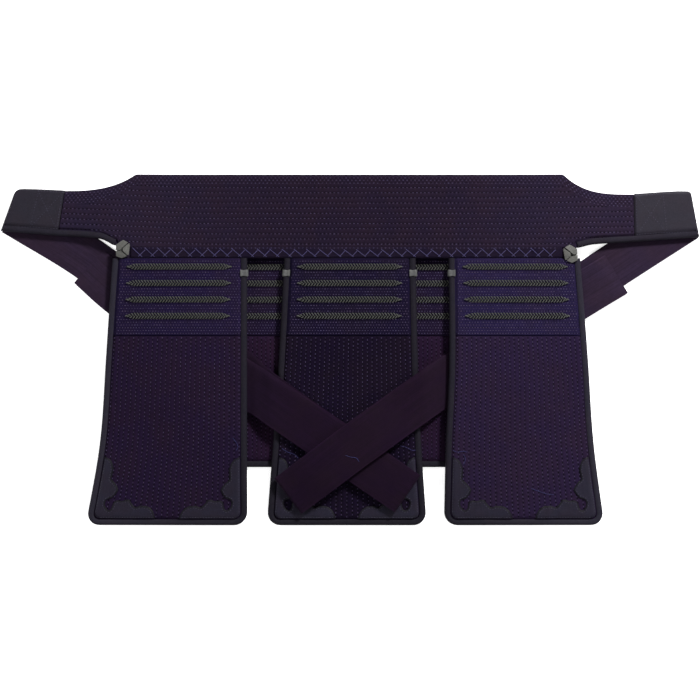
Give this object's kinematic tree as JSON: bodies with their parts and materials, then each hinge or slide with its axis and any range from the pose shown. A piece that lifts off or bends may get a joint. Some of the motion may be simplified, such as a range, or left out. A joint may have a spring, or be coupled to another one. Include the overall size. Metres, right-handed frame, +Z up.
{
  "type": "kendo waist protector",
  "caption": "Quilted waist protector laid flat: padded waistband, front and rear hanging flaps with braided cords and leather corners, leather end caps and crossed tie straps.",
  "frame": {"origin": "centre of the bounding box's bottom face, on the surface that the protector lies on", "axes": "+X to the right seen from above with the waistband at the top, +Y towards the waistband's top edge, +Z up, out of the front face"},
  "size_m": [0.7822, 0.3932, 0.026],
  "materials": {
    "waistband_cloth": "indigo quilted cotton",
    "strip_cloth": "plain cotton with slanted stitches",
    "cap_leather": "dull charcoal leather",
    "flap_cloth": "indigo quilted cotton",
    "small_flap_cloth": "indigo quilted cotton",
    "binding_cloth": "folded cotton tape",
    "strap_cloth": "woven cotton",
    "cord_braid": "braided cord",
    "patch_leather": "dark leather",
    "rosette_leather": "pale folded leather",
    "tab_leather": "pale leather"
  },
  "bodies": {
    "root": {"waistband": "waistband_cloth", "seam_strip": "strip_cloth", "end_cap_left": "cap_leather", "wing_binding_left": "binding_cloth", "strap_left": "strap_cloth", "rosette_left": "rosette_leather", "small_flap_left": "small_flap_cloth", "small_binding_left": "binding_cloth", "small_cord_left_1": "cord_braid", "small_cord_left_2": "cord_braid", "small_cord_left_3": "cord_braid", "small_cord_left_4": "cord_braid", "end_cap_right": "cap_leather", "wing_binding_right": "binding_cloth", "strap_right": "strap_cloth", "rosette_right": "rosette_leather", "small_flap_right": "small_flap_cloth", "small_binding_right": "binding_cloth", "small_cord_right_1": "cord_braid", "small_cord_right_2": "cord_braid", "small_cord_right_3": "cord_braid", "small_cord_right_4": "cord_braid", "flap_left": "flap_cloth", "flap_binding_left": "binding_cloth", "cord_left_1": "cord_braid", "cord_left_2": "cord_braid", "cord_left_3": "cord_braid", "cord_left_4": "cord_braid", "corner_patch_left_a": "patch_leather", "corner_patch_left_b": "patch_leather", "flap_centre": "flap_cloth", "flap_binding_centre": "binding_cloth", "cord_centre_1": "cord_braid", "cord_centre_2": "cord_braid", "cord_centre_3": "cord_braid", "cord_centre_4": "cord_braid", "corner_patch_centre_a": "patch_leather", "corner_patch_centre_b": "patch_leather", "flap_right": "flap_cloth", "flap_binding_right": "binding_cloth", "cord_right_1": "cord_braid", "cord_right_2": "cord_braid", "cord_right_3": "cord_braid", "cord_right_4": "cord_braid", "corner_patch_right_a": "patch_leather", "corner_patch_right_b": "patch_leather", "tab_left": "tab_leather", "tab_centre_a": "tab_leather", "tab_centre_b": "tab_leather", "tab_right": "tab_leather"}
  },
  "joints": []
}
